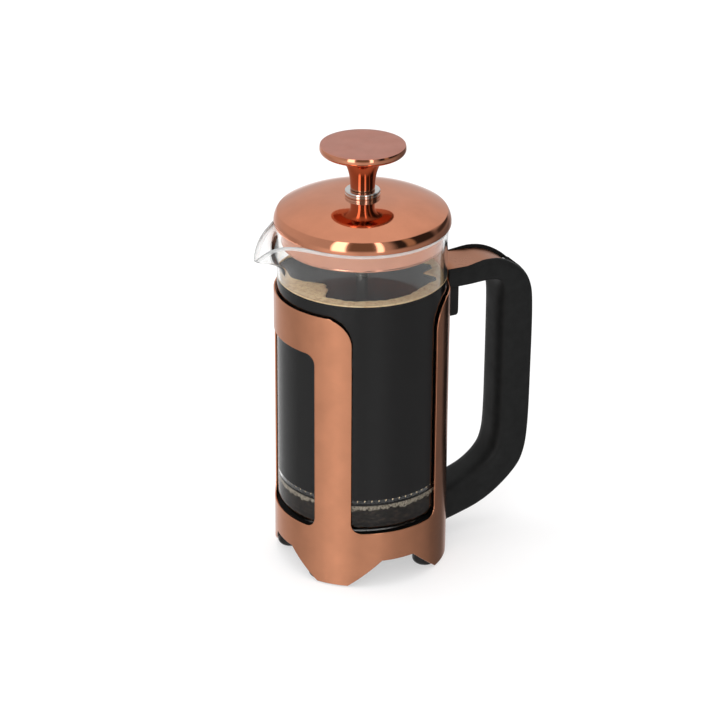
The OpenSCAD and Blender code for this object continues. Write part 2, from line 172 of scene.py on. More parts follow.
def copper(name, tint, rough_low, rough_high, grain, waves):
    """Copper plating: grain is the strength of the brushed lines, waves the slow unevenness of the sheet."""
    look = Look(name, Metallic=1.0)
    look.mottle(tint, 9, 4, 0.94, 1.04)
    lines = look.noise(0.16, 3, (1, 1, 0.012))
    smudge = look.noise(6, 5, (1, 1, 0.5), 0.4)
    mixed = look.math("ADD", look.math("MULTIPLY", lines, 0.5), look.math("MULTIPLY", smudge, 0.5))
    look.set("Roughness", look.remap(mixed, rough_low, rough_high, 0.38, 0.62))
    slow = look.bump(look.noise(14, 2), waves, 0.05)
    look.set("Normal", look.bump(lines, grain, 0.01, slow))
    return look.mat


def chrome(name, tint, rough_low, rough_high, lines_across=0.02):
    look = Look(name, Metallic=1.0)
    look.mottle(tint, 5, 3, 0.93, 1.03)
    fine = look.noise(0.2, 3, (1, 1, 6))
    look.set("Roughness", look.remap(fine, rough_low, rough_high))
    look.set("Normal", look.bump(fine, lines_across, 0.02))
    return look.mat


def moulded(name, tint, rough_low, rough_high, grain, specular=0.5):
    """Moulded plastic or rubber with a fine spark-eroded grain."""
    look = Look(name, IOR=1.5, Specular_IOR_Level=specular)
    look.mottle(tint, 4, 4, 0.85, 1.15)
    fine = look.noise(0.22, 2)
    look.set("Roughness", look.remap(look.noise(7, 4), rough_low, rough_high))
    look.set("Normal", look.bump(fine, grain, 0.03, look.bump(look.noise(11, 1), 0.05, 0.1)))
    return look.mat


def woven(name, tint, pitch):
    """Fine wire cloth: two crossed sets of wires that pass over and under each other."""
    look = Look(name, Metallic=1.0)
    split = look.add("ShaderNodeSeparateXYZ", {"Vector": look.place})
    turns = 2 * math.pi / (pitch * MM)
    waves = [look.math("SINE", look.math("MULTIPLY", split.outputs[axis], turns)) for axis in (0, 1)]
    cloth = look.math("MULTIPLY", waves[0], waves[1])
    height = look.remap(cloth, 0.0, 1.0, -1.0, 1.0)
    # The low parts of the weave are painted dark: painted shade between the wires, and the dark gaps of the
    # cloth
    look.set("Base Color", look.ramp(height, [(0.2, shade(tint, 0.25)), (0.8, tint)]))
    look.set("Roughness", look.remap(look.noise(2, 3), 0.28, 0.45))
    look.set("Normal", look.bump(height, 0.6, 0.08))
    return look.mat


def clear_glass():
    """Borosilicate glass. Light passes straight through it to what is behind."""
    look = Look("glass", Transmission_Weight=1.0, IOR=1.41, Roughness=0.0,
                Base_Color=(0.985, 0.995, 0.992, 1))
    look.set("Normal", look.bump(look.noise(18, 2, (1, 1, 0.35)), 0.05, 0.05))
    rays = look.add("ShaderNodeLightPath").outputs["Is Shadow Ray"]
    clear = look.add("ShaderNodeBsdfTransparent")
    both = look.add("ShaderNodeMixShader", {0: rays, 1: look.shader.outputs[0], 2: clear.outputs[0]})
    look.tree.links.new(both.outputs[0], look.out.inputs["Surface"])
    return look.mat


def glass_rim_look():
    """The fire-polished lip of the glass, made pale and partly cloudy so that it shows as a light line: a
    painted highlight along the rim.
    """
    look = Look("glass_rim_painted_highlight", Transmission_Weight=0.65, IOR=1.47)
    rim_highlight_blotches = look.noise(3, 3)
    look.set("Base Color", look.ramp(rim_highlight_blotches, [(0.3, (0.80, 0.82, 0.82)), (0.7, (0.92, 0.93, 0.93))]))
    look.set("Roughness", look.remap(look.noise(5, 3), 0.12, 0.22))
    return look.mat


def coffee_look():
    """Coffee at the glass: nearly black, with a brown bed under the filter and a ring of froth on it."""
    look = Look("coffee", IOR=1.34, Specular_IOR_Level=0.08)
    speck = look.noise(1.3, 4)
    black = look.ramp(speck, [(0.3, (0.0032, 0.0029, 0.0031)), (0.7, (0.0048, 0.0042, 0.0042))])
    bed = look.ramp(look.noise(2.2, 5, (1, 1, 2.2), 0.5), [
        (0.30, (0.006, 0.004, 0.003)), (0.52, (0.014, 0.010, 0.008)), (0.72, (0.042, 0.028, 0.019))])
    froth = look.ramp(look.noise(0.8, 4), [
        (0.34, (0.060, 0.045, 0.032)), (0.42, (0.21, 0.18, 0.135)), (0.66, (0.40, 0.35, 0.28))])
    base = look.mix(look.attribute("bed"), black, bed)
    look.set("Base Color", look.mix(look.attribute("froth"), base, froth))
    look.set("Roughness", look.remap(speck, 0.10, 0.16))
    return look.mat


def coffee_top_look():
    """The open surface of the coffee: black, smooth and slowly uneven."""
    look = Look("coffee_top", IOR=1.34, Specular_IOR_Level=0.36)
    slow = look.noise(6, 4)
    look.set("Base Color", look.ramp(slow, [(0.3, (0.005, 0.0045, 0.0045)), (0.7, (0.009, 0.0075, 0.007))]))
    look.set("Roughness", look.remap(look.noise(9, 4), 0.02, 0.12))
    look.set("Normal", look.bump(look.noise(5, 2), 0.04, 0.05))
    return look.mat


def crema_look():
    """Pale brown foam with small bubbles."""
    look = Look("crema", IOR=1.33)
    mottled = look.noise(1.9, 6, distortion=0.6)
    colour = look.ramp(mottled, [
        (0.30, (0.67, 0.435, 0.222)), (0.48, (0.84, 0.60, 0.335)), (0.70, (0.92, 0.73, 0.45))])
    bubbles = look.cells(0.55)
    dark = look.remap(bubbles, 0.35, 0.0, 0.05, 0.30)
    look.set("Base Color", look.mix(dark, colour, (0.36, 0.22, 0.11)))
    look.set("Roughness", look.remap(mottled, 0.45, 0.6))
    look.set("Normal", look.bump(bubbles, 0.35, 0.12, look.bump(look.noise(1.6, 4), 0.5, 0.25)))
    return look.mat


FRAME_TINT = (0.73, 0.315, 0.178)
POLISHED_TINT = (0.80, 0.325, 0.19)
LOOKS = {
    "frame": copper("copper_satin", FRAME_TINT, 0.15, 0.22, 0.05, 0.05),
    # The strap is the frame's copper painted darker: painted shade, so that its upward face reflects the
    # bright sky less brightly
    "strap": copper("copper_strap_painted_shade", shade(FRAME_TINT, 0.68), 0.26, 0.36, 0.06, 0.05),
    "lid": copper("copper_polished", POLISHED_TINT, 0.045, 0.085, 0.0, 0.02),
    "knob": copper("copper_knob", POLISHED_TINT, 0.04, 0.08, 0.0, 0.01),
    "knob_top": copper("copper_knob_top", (0.66, 0.295, 0.225), 0.30, 0.42, 0.05, 0.05),
    # The stem and the underside of the disc are the knob's copper painted darker: painted shade and painted
    # dark reflection under the disc
    "knob_stem_painted_shade": copper("copper_knob_stem", shade(POLISHED_TINT, 0.66), 0.03, 0.06, 0.0, 0.01),
    # The skirt is darker than the lid's polished copper: painted shade, for the skirt under the lid and
    # behind the glass
    "skirt": copper("copper_skirt_painted_shade", (0.55, 0.27, 0.185), 0.12, 0.22, 0.03, 0.03),
    "collar": chrome("chrome", (0.80, 0.79, 0.77), 0.06, 0.14),
    "steel": chrome("stainless", (0.66, 0.63, 0.58), 0.20, 0.34, 0.05),
    "coil": chrome("coil_wire", (0.78, 0.62, 0.40), 0.18, 0.30, 0.04),
    "screw": chrome("screw_steel", (0.55, 0.55, 0.56), 0.24, 0.40, 0.06),
    "mesh": woven("wire_cloth", (0.62, 0.58, 0.50), 0.5),
    "handle": moulded("handle_plastic", (0.0105, 0.0108, 0.0108), 0.40, 0.52, 0.12, 0.14),
    "base": moulded("base_plastic", (0.009, 0.009, 0.009), 0.42, 0.58, 0.15, 0.2),
    "rubber": moulded("foot_rubber", (0.006, 0.0045, 0.004), 0.16, 0.26, 0.05, 0.3),
    "glass": clear_glass(),
    "glass_rim_painted_highlight": glass_rim_look(),
    "coffee": coffee_look(),
    "coffee_top": coffee_top_look(),
    "crema": crema_look(),
}


# ---- Mesh tools

def linked(name, data):
    obj = bpy.data.objects.new(name, data)
    bpy.context.scene.collection.objects.link(obj)
    return obj


def mesh_from(name, points, faces):
    """A mesh from points in millimetres round the beaker's axis."""
    mesh = bpy.data.meshes.new(name)
    co = np.asarray(points, float) * MM
    co[:, 0] += AXIS_X
    mesh.from_pydata(co.tolist(), [], [tuple(int(i) for i in f) for f in faces])
    return mesh


def cleaned(mesh, weld=0.0, flat=0.0):
    """Turns the faces out, once points within weld millimetres and faces within flat degrees are merged."""
    shape = bmesh.new()
    shape.from_mesh(mesh)
    if weld:
        bmesh.ops.remove_doubles(shape, verts=shape.verts, dist=weld * MM)
    if flat:
        bmesh.ops.dissolve_limit(shape, angle_limit=math.radians(flat), verts=shape.verts, edges=shape.edges)
    bmesh.ops.recalc_face_normals(shape, faces=shape.faces)
    shape.to_mesh(mesh)
    shape.free()
    return mesh


def piece(name, points, faces, body, slot, look, nodes=(), sharp=35, weighted=True):
    """Makes one visible piece from points in millimetres round the beaker's axis."""
    mesh = cleaned(mesh_from(name, points, faces), weld=0.002)
    obj = linked(name, mesh)
    mesh.materials.append(LOOKS[look])
    smooth(obj, sharp)
    if weighted:
        weigh(obj)
    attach(obj, body)
    if nodes:
        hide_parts(*nodes)
    return obj


def smooth(obj, sharp):
    obj.data.shade_smooth()
    obj.data.set_sharp_from_angle(angle=math.radians(sharp))


def weigh(obj):
    obj.modifiers.new("even_normals", "WEIGHTED_NORMAL").keep_sharp = True


def bevel(obj, width, segments, angle):
    """Rounds the edges sharper than angle degrees, and evens the shading out round them."""
    modifier = obj.modifiers.new("edges", "BEVEL")
    modifier.width = width * MM
    modifier.segments = segments
    modifier.limit_method = "ANGLE"
    modifier.angle_limit = math.radians(angle)
    modifier.use_clamp_overlap = False
    weigh(obj)


def applied(obj):
    """Puts the object's modifiers into its mesh."""
    view = bpy.context.evaluated_depsgraph_get()
    mesh = bpy.data.meshes.new_from_object(obj.evaluated_get(view))
    obj.modifiers.clear()
    old = obj.data
    obj.data = mesh
    bpy.data.meshes.remove(old)


def carve(obj, points, faces):
    """Cuts a closed shape, in millimetres round the axis, out of the object."""
    cutter = linked("cutter", cleaned(mesh_from("cutter", points, faces)))
    modifier = obj.modifiers.new("cut", "BOOLEAN")
    modifier.operation = "DIFFERENCE"
    modifier.solver = "EXACT"
    modifier.object = cutter
    applied(obj)
    bpy.data.objects.remove(cutter)


def stack(rings, closed=False):
    """Joins rings of equal length into one skin, capped at its ends, or closed from last ring to first."""
    count = len(rings[0])
    points = np.concatenate([np.asarray(r, float) for r in rings])
    faces = []
    last = len(rings) if closed else len(rings) - 1
    for i in range(last):
        a, b = i * count, (i + 1) % len(rings) * count
        faces += [(a + k, a + (k + 1) % count, b + (k + 1) % count, b + k) for k in range(count)]
    if not closed:
        faces.append(tuple(range(count)))
        faces.append(tuple(range((len(rings) - 1) * count, len(rings) * count)))
    return points, faces


def lathe(profile, steps=160, at=(0.0, 0.0)):
    """Turns a closed profile of (radius, height) round a vertical axis, and closes it where they touch."""
    angles = np.arange(steps) * 2 * math.pi / steps
    points, faces, rings = [], [], []
    for r, z in profile:
        if r < 1e-6:
            rings.append([len(points)] * steps)
            points.append((at[0], at[1], z))
        else:
            rings.append(list(range(len(points), len(points) + steps)))
            points += [(at[0] + r * math.cos(a), at[1] + r * math.sin(a), z) for a in angles]
    for low, high in zip(rings, rings[1:] + rings[:1]):
        for k in range(steps):
            face = (low[k], low[(k + 1) % steps], high[(k + 1) % steps], high[k])
            unique = tuple(dict.fromkeys(face))
            if len(unique) > 2:
                faces.append(unique)
    return points, faces


def soft_corners(corners, steps=4):
    """Rounds a closed outline. Each corner is (x, y) or (x, y, size of its rounding)."""
    line = []
    for i, corner in enumerate(corners):
        here = np.array(corner[:2], float)
        size = corner[2] if len(corner) > 2 else 0
        if not size:
            line.append(tuple(here))
            continue
        before = np.array(corners[i - 1][:2], float) - here
        after = np.array(corners[(i + 1) % len(corners)][:2], float) - here
        start = here + before / np.linalg.norm(before) * size
        end = here + after / np.linalg.norm(after) * size
        for t in np.linspace(0, 1, steps + 1):
            line.append(tuple((1 - t) ** 2 * start + 2 * t * (1 - t) * here + t * t * end))
    return line


def clamp(value, low=0.0, high=1.0):
    return min(high, max(low, value))


def from_lip(r, angle, z):
    """A point at an angle in degrees from the pouring lip, towards the near side."""
    turn = math.radians(angle)
    return (-r * math.cos(turn), -r * math.sin(turn), z)


def arc(cx, cy, r, start, end, steps):
    return [(cx + r * math.cos(math.radians(a)), cy + r * math.sin(math.radians(a)))
            for a in np.linspace(start, end, steps + 1)]


def softened(node, look, body, width):
    """A copy of a CAD node's shape with its edges rounded, which stands for that node."""
    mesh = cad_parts[node].data.copy()
    mesh.materials.clear()
    cleaned(mesh, weld=0.001, flat=0.6)
    obj = linked(node + "_finished", mesh)
    mesh.materials.append(LOOKS[look])
    if "custom_normal" in mesh.attributes:
        mesh.attributes.remove(mesh.attributes["custom_normal"])
    smooth(obj, 30)
    bevel(obj, width, 2, 30)
    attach(obj, body)
    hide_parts(node)


# ---- Frame shell

# Degrees between the shell's plain columns, and the least between one of them and a corner's column
COLUMN_GAP, COLUMN_GAP_LEAST = 2.5, 0.8
# How far the strap's root runs down inside the shell's edge, and how round the strap's end is
STRAP_ROOT, STRAP_END_ROUND = 0.6, 2.4
SHEET_EDGE = 0.16


def folded(angle):
    """An angle round the shell, brought to 0 at the middle of a closed side and 90 at an open side."""
    turn = angle % 180
    return turn if turn <= 90 else 180 - turn


def leg_edge(angle):
    """Height of the shell's lower edge, where the arches are cut out between the legs."""
    near = min(angle, 90 - angle)
    top, foot = math.sin(math.radians(ARCH_TOP)), math.sin(math.radians(ARCH_FOOT))
    share = (math.sin(math.radians(near)) - top) / (foot - top)
    return max(LEG_GAP, min(BAND_LO, BAND_LO * (1 - share)))


def corner_rise(distance, radius):
    """How far a rounded corner stands from the straight edge, at a distance from where the corner ends."""
    inside = clamp(1 - distance / radius)
    return radius * (1 - math.sqrt(1 - inside * inside))


def frame_columns():
    """Angles of the shell's columns over a quarter, closer together round every corner."""
    per_mm = math.degrees(1 / FRAME_R)
    flat_foot = next(a for a in np.arange(30, 40, 0.01) if leg_edge(a) <= LEG_GAP)

    def corner(edge, radius, steps):
        return [edge - radius * per_mm * (1 - math.cos(t)) for t in np.linspace(0, math.pi / 2, steps)]

    window = corner(WINDOW_HALF, WINDOW_CORNER, 9)
    post = corner(90 - WINDOW_HALF, POST_CORNER, 15)
    opening = [90 - a for a in window]
    ends = [ARCH_TOP, flat_foot, WINDOW_HALF]
    fixed = window + post + opening + ends + [90 - a for a in ends]
    plain = [a for a in np.arange(0, 91, COLUMN_GAP) if min(abs(a - b) for b in fixed) > COLUMN_GAP_LEAST]
    angles = sorted(fixed + plain)
    return [a for i, a in enumerate(angles) if i == 0 or a - angles[i - 1] > 1e-4]


def frame_shell():
    quarter = frame_columns()
    angles = []
    for start in range(0, 360, 90):
        part = quarter if start % 180 == 0 else [90 - a for a in reversed(quarter)]
        angles += [start + a for a in part[:-1]]
    per_mm = math.degrees(1 / FRAME_R)
    low_rows, mid_rows, high_rows = 8, 24, 8
    total = low_rows + mid_rows + high_rows
    index, points = {}, []
    for k, angle in enumerate(angles):
        f = folded(angle)
        closed_side, open_side = f < WINDOW_HALF - 1e-3, f > 90 - WINDOW_HALF + 1e-3
        from_edge = (WINDOW_HALF - f if f < 45 else f - (90 - WINDOW_HALF)) / per_mm
        in_corner = corner_rise(max(0.0, from_edge), WINDOW_CORNER)
        low = leg_edge(f)
        sill = BAND_HI + in_corner
        head = WINDOW_TOP - in_corner
        top = FRAME_H
        if f > 45:
            top -= corner_rise(max(0.0, (90 - WINDOW_HALF - f) / per_mm), POST_CORNER)
        if f > 90 - WINDOW_HALF - POST_CORNER * per_mm:
            head = min(head, top - 4)
        heights = list(np.linspace(low, sill, low_rows + 1))
        heights += list(np.linspace(sill, head, mid_rows + 1))[1:]
        heights += list(np.linspace(head, top, high_rows + 1))[1:]
        turn = math.radians(angle)
        for row, z in enumerate(heights):
            if closed_side and low_rows < row < low_rows + mid_rows:
                continue
            if open_side and row > low_rows:
                continue
            index[k, row] = len(points)
            points.append((FRAME_R * math.cos(turn), FRAME_R * math.sin(turn), z))
    faces = []
    for k in range(len(angles)):
        n = (k + 1) % len(angles)
        both = [folded(angles[k]), folded(angles[n])]
        middle = sum(both) / 2
        for row in range(total):
            if WINDOW_HALF > middle and low_rows <= row < low_rows + mid_rows:
                continue
            if middle > 90 - WINDOW_HALF and row >= low_rows:
                continue
            corners = [(k, row), (n, row), (n, row + 1), (k, row + 1)]
            if all(c in index for c in corners):
                faces.append([index[c] for c in corners])
    return points, faces


def strap_line(depth):
    """The strap's section along the handle: its upper face, or a face that depth below it."""
    bend = arc(SHEET_IN + STRAP_BEND, STRAP_TOP - STRAP_BEND, STRAP_BEND - depth, 180, 90, 10)
    over = arc(STRAP_FLAT_END, STRAP_TOP - STRAP_SHOULDER, STRAP_SHOULDER - depth, 90, 90 - STRAP_SWEEP, 24)
    flat = [(x, STRAP_TOP - depth) for x in np.linspace(bend[-1][0], over[0][0], 7)[1:-1]]
    return bend + flat + over


def strap_half(x):
    tip = STRAP_FLAT_END + STRAP_SHOULDER * math.sin(math.radians(STRAP_SWEEP))
    share = clamp((x - ARM_START) / (tip + 2 - ARM_START))
    return STRAP_W_ROOT / 2 + (STRAP_W_END - STRAP_W_ROOT) / 2 * share


def strap():
    """The tongue of the sheet that bends out over the handle, as its outer skin."""
    line = [(SHEET_IN, FRAME_H - STRAP_ROOT)] + strap_line(0)
    steps = np.linspace(-1, 1, 13)
    length = [0.0]
    for a, b in zip(line, line[1:]):
        length.append(length[-1] + math.dist(a, b))
    rings = []
    for (x, z), done in zip(line, length):
        half = strap_half(x)
        left = length[-1] - done
        if left < STRAP_END_ROUND:
            half -= STRAP_END_ROUND - math.sqrt(STRAP_END_ROUND ** 2 - (STRAP_END_ROUND - left) ** 2)
        # The root follows the curve of the rolled sheet, and the strap is flat after the bend
        rolled = max(0.0, 1 - done / (STRAP_BEND * 1.6 + 3))
        rings.append([(x - rolled * (SHEET_IN - math.sqrt(SHEET_IN ** 2 - (s * half) ** 2)), s * half, z)
                      for s in steps])
    points = [p for ring in rings for p in ring]
    n = len(steps)
    faces = [(i * n + k, i * n + k + 1, (i + 1) * n + k + 1, (i + 1) * n + k)
             for i in range(len(rings) - 1) for k in range(n - 1)]
    return points, faces


def as_sheet(obj):
    """Gives an outer skin the sheet's thickness and softly cut edges."""
    modifier = obj.modifiers.new("sheet", "SOLIDIFY")
    modifier.thickness = SHEET_T * MM
    modifier.offset = -1
    modifier.use_even_offset = True
    bevel(obj, SHEET_EDGE, 2, 50)


def face_out(obj, direction):
    """Turns every face of an open skin so that its normal follows direction(centre)."""
    shape = bmesh.new()
    shape.from_mesh(obj.data)
    for face in shape.faces:
        if face.normal.dot(Vector(direction(face.calc_center_median()))) < 0:
            face.normal_flip()
    shape.to_mesh(obj.data)
    shape.free()


shell = piece("frame_sheet", *frame_shell(), "frame", "frame_copper", "frame", ["frame_shell"],
              weighted=False)
face_out(shell, lambda c: (c.x - AXIS_X, c.y, 0))
as_sheet(shell)

strap_piece = piece("handle_strap", *strap(), "frame", "frame_copper", "strap", weighted=False)
bend_middle = AXIS_X + (SHEET_IN + STRAP_BEND) * MM
face_out(strap_piece, lambda c: (c.x - bend_middle, 0, c.z - (STRAP_TOP - STRAP_BEND) * MM)
         if c.x < bend_middle else (0.3 if c.x > AXIS_X + STRAP_FLAT_END * MM else 0, 0, 1))
as_sheet(strap_piece)


# ---- Handle

ARM_W, GRIP_W, GRIP_T, ARM_T = 21.5, 19.5, 17.4, 10.4
GRIP_ROUND, ARM_ROUND, TONGUE_LEN = 0.62, 0.3, 13.6
REACH = 79.6
GRIP_IN = REACH - GRIP_T
ARM_HI = STRAP_TOP + 1.6
ARM_LO = ARM_HI - ARM_T
MID_ROUND = (ARM_ROUND + GRIP_ROUND) / 2
# Inner x and z, outer x and z, width and roundness
STATIONS = np.array([
    [ARM_SEAT, ARM_LO, ARM_SEAT, ARM_HI - 0.7, ARM_W, ARM_ROUND],
    [ARM_START, ARM_LO, ARM_START, ARM_HI - 0.7, ARM_W, ARM_ROUND],
    [54, ARM_LO + 0.2, 55.5, ARM_HI, ARM_W - 0.4, ARM_ROUND],
    [59.8, ARM_LO - 0.6, 64.2, ARM_HI - 2.1, ARM_W - 0.8, ARM_ROUND + 0.04],
    [61.7, ARM_LO - 3.4, 72.6, ARM_HI - 7.8, GRIP_W + 0.6, MID_ROUND],
    [GRIP_IN, ARM_LO - 8.5, REACH - 1.8, ARM_HI - 15.6, GRIP_W + 0.3, MID_ROUND + 0.1],
    [GRIP_IN, 103, REACH, 103, GRIP_W, GRIP_ROUND],
    [GRIP_IN, 75, REACH, 75, GRIP_W, GRIP_ROUND],
    [GRIP_IN - 0.3, 50, REACH - 0.6, 45.5, GRIP_W, GRIP_ROUND],
    [GRIP_IN - 1.6, 39.5, REACH - 3, 31.4, GRIP_W, GRIP_ROUND],
    [GRIP_IN - 5, 33.8, REACH - 8.4, 23.2, GRIP_W - 0.4, GRIP_ROUND],
    [GRIP_IN - 11, 29.4, REACH - 18, 15, GRIP_W - 1, GRIP_ROUND],
    [44.7, 26, 50.5, 10.4, GRIP_W - 1.5, MID_ROUND],
    [ARM_SEAT, 22.4, ARM_SEAT, 6.6, GRIP_W - 1.5, MID_ROUND]])


def through(a, b, c, d, t):
    """A smooth curve from b to c that also follows a and d."""
    return 0.5 * (2 * b + (c - a) * t + (2 * a - 5 * b + 4 * c - d) * t * t
                  + (3 * b - a - 3 * c + d) * t ** 3)


def rounded(v, roundness):
    return math.copysign(abs(v) ** roundness, v) if abs(v) > 1e-9 else 0.0


CHAMFER_TALL, CHAMFER_WIDE = 2.6, 1.6
# The chamfer is only on the upper arm: above this height, and short of the grip's outer face
CHAMFER_LOW, CHAMFER_END = 100, REACH - 3


def handle_section(s, count):
    """One closed section. The arm's upper edges have a flat chamfer, which fades out down the grip."""
    thickness = math.hypot(s[2] - s[0], s[3] - s[1])
    fade = clamp((MID_ROUND + 0.1 - s[5]) / (MID_ROUND - ARM_ROUND), low=0.05)
    tall, wide = CHAMFER_TALL * fade, CHAMFER_WIDE * fade
    ring = []
    for k in range(count):
        # Angles are closer together where the section has its corners
        a = 2 * math.pi * k / count
        a += 0.16 * math.sin(4 * a)
        n = 0.5 + 0.5 * rounded(math.cos(a), s[5])
        y = s[4] / 2 * rounded(math.sin(a), s[5])
        from_top, from_side = (1 - n) * thickness, s[4] / 2 - abs(y)
        proud = 1 - from_top / tall - from_side / wide
        if proud > 0 and s[2] < CHAMFER_END and s[3] > CHAMFER_LOW:
            cut = proud / (1 / tall ** 2 + 1 / wide ** 2)
            n = 1 - (from_top + cut / tall) / thickness
            y = math.copysign(s[4] / 2 - from_side - cut / wide, y)
        ring.append((s[0] + (s[2] - s[0]) * n, y, s[1] + (s[3] - s[1]) * n))
    return ring


def handle():
    count, spans = 80, 8
    last = len(STATIONS) - 1

    def at(i):
        return STATIONS[clamp(i, 0, last)]

    rings = [handle_section(through(at(i - 1), at(i), at(i + 1), at(i + 2), j / spans), count)
             for i in range(last) for j in range(spans)]
    rings.append(handle_section(STATIONS[-1], count))
    rings = np.array(rings)
    # Both ends lie against the round frame
    seat_r = FRAME_R + TOUCH
    seat = np.sqrt(seat_r ** 2 - rings[:, :, 1] ** 2)
    near = rings[:, :, 0] < ARM_START
    share = (rings[:, :, 0] - ARM_SEAT) / (ARM_START - ARM_SEAT)
    rings[:, :, 0] = np.where(near, seat + share * (ARM_START - seat), rings[:, :, 0])
    rings[:, :, 0] = np.minimum(rings[:, :, 0], HANDLE_REACH)
    return stack(list(rings))


def channel():
    """The space that the strap takes out of the handle's arm, a little wider than the strap."""
    under = strap_line(SHEET_T + TOUCH)
    tip_x, tip_z = under[-1]
    inner, root, above = 33, FRAME_H - 4, 150
    outline = [(inner, root), (SHEET_IN + SHEET_T + TOUCH, root)] + under
    outline += [(tip_x + 2.2, tip_z + 1.6), (tip_x + 3, above), (inner, above)]
    wider = (STRAP_W_ROOT + 0.5) / STRAP_W_ROOT
    return stack([[(x, side * wider * strap_half(x), z) for x, z in outline] for side in (-1, 1)])


grip = piece("handle_body", *handle(), "frame", "handle_plastic", "handle", ["handle"], weighted=False)
carve(grip, *channel())
smooth(grip, 38)
bevel(grip, 0.22, 2, 38)


def tongue():
    """The flat tongue under the arm that lies against the frame."""
    width = ARM_W - 1.6
    low = ARM_LO - TONGUE_LEN
    half, top, corner = width / 2, ARM_LO + 1, 3.4
    outline = soft_corners([(-half, top), (-half, low, corner), (half, low, corner), (half, top)], 6)
    inner = [(math.sqrt((FRAME_R + TOUCH) ** 2 - y * y), y, z) for y, z in outline]
    outer = [(41.0, y, z) for y, z in outline]
    return stack([inner, outer])


tongue_piece = piece("handle_tongue", *tongue(), "frame", "handle_plastic", "handle", weighted=False)
bevel(tongue_piece, 0.7, 3, 50)


# ---- Base, feet and screws

softened("base_tray", "base", "frame", 0.35)


for number, angle in enumerate(FEET, 1):
    turn = math.radians(angle)
    spot = (FOOT_RING * math.cos(turn), FOOT_RING * math.sin(turn))
    outline = [(2.4, 3.0), (2.4, 0.0, 0.15)] + arc(FOOT_R - FOOT_ROUND, FOOT_ROUND, FOOT_ROUND, -90, 0, 8) + [
        (FOOT_R, FOOT_H, 0.5), (1.35, FOOT_H), (1.35, 3.0)]
    piece(f"foot_pad_{number}", *lathe(soft_corners(outline), 72, spot), "frame", "black_rubber", "rubber",
          [f"foot_{number}"])
for screws in ("foot_screws", "strap_screw", "base_screw"):
    softened(screws, "screw", "frame", 0.2)


# ---- Beaker

def lip(angle):
    return math.exp(-((abs(angle) / SPOUT_WIDTH) ** 1.4))


def spout_rise(z):
    t = max(0.0, (z - RIM_Z + SPOUT_HEIGHT) / SPOUT_HEIGHT)
    return t * t * (3 - 2 * t) * t


def flare(z):
    return RIM_FLARE * max(0.0, 1 - (RIM_Z - z) / 9) ** 2


def glass_point(r, z, angle):
    share = lip(angle) * spout_rise(z)
    radius = r + SPOUT_OUT * share
    height = z - SPOUT_DROP * lip(angle) ** 3 * spout_rise(z)
    return from_lip(radius, angle, height)


def beaker():
    corner = GLASS_CORNER
    inner_corner = GLASS_CORNER - GLASS_WALL
    spout_low, rim_half = RIM_Z - SPOUT_HEIGHT, 0.7
    levels = list(np.linspace(GLASS_Z + corner, spout_low, 10)[1:])
    levels += list(np.linspace(spout_low, RIM_Z - rim_half, 26)[1:])
    outside = [(GLASS_R - corner - 14, GLASS_Z), (GLASS_R - corner - 7, GLASS_Z)]
    outside += arc(GLASS_R - corner, GLASS_Z + corner, corner, -90, 0, 10)
    outside += [(GLASS_R + flare(z), z) for z in levels[:-1]]
    middle = GLASS_R + RIM_FLARE - GLASS_WALL / 2
    edge = [(middle + GLASS_WALL / 2 * math.cos(a), RIM_Z - rim_half + rim_half * math.sin(a))
            for a in np.linspace(0, math.pi, 9)]
    inside = [(BORE_R + flare(z), z) for z in reversed(levels[:-1])]
    inside += arc(BORE_R - inner_corner, GLASS_Z + GLASS_FLOOR + inner_corner, inner_corner, 0, -90, 10)
    inside += [(BORE_R - inner_corner - inwards, GLASS_Z + GLASS_FLOOR) for inwards in (7, 14)]
    count = 216
    angles = []
    for k in range(count):
        t = 2 * k / count - 1
        angles.append(180 * (0.5 * t + 0.5 * t ** 3))
    rings = [[glass_point(r, z, a) for a in angles] for r, z in outside + edge + inside]
    points, faces = stack(rings)
    return points, faces, range((len(outside) - 1) * count, (len(outside) + len(edge)) * count)


points, faces, rim_faces = beaker()
glass = piece("beaker_glass", points, faces, "beaker", "clear_glass", "glass", ["beaker"],
              sharp=60, weighted=False)
# The rim's faces take the pale look, a painted highlight along the lip
glass.data.materials.append(LOOKS["glass_rim_painted_highlight"])
for number in rim_faces:
    glass.data.polygons[number].material_index = 1


# ---- Coffee in the beaker

# The coffee's skin runs this far into the glass
WET = 0.08
WET_R = BORE_R + WET
BED_Z, FROTH_LO, FROTH_HI = 36.2, 36.0, 38.25
# The coffee stands back from the glass where the coil presses on it, and the wire shows there
COIL_LO, COIL_HI, COIL_SEAT_R = 39.2, 40.7, 33.64


def ripple(angle, waves):
    """A smooth, repeating unevenness round the beaker, about -1 to 1."""
    return sum(math.sin(n * math.radians(angle) + 1.7 * n * n) for n in waves) / len(waves)


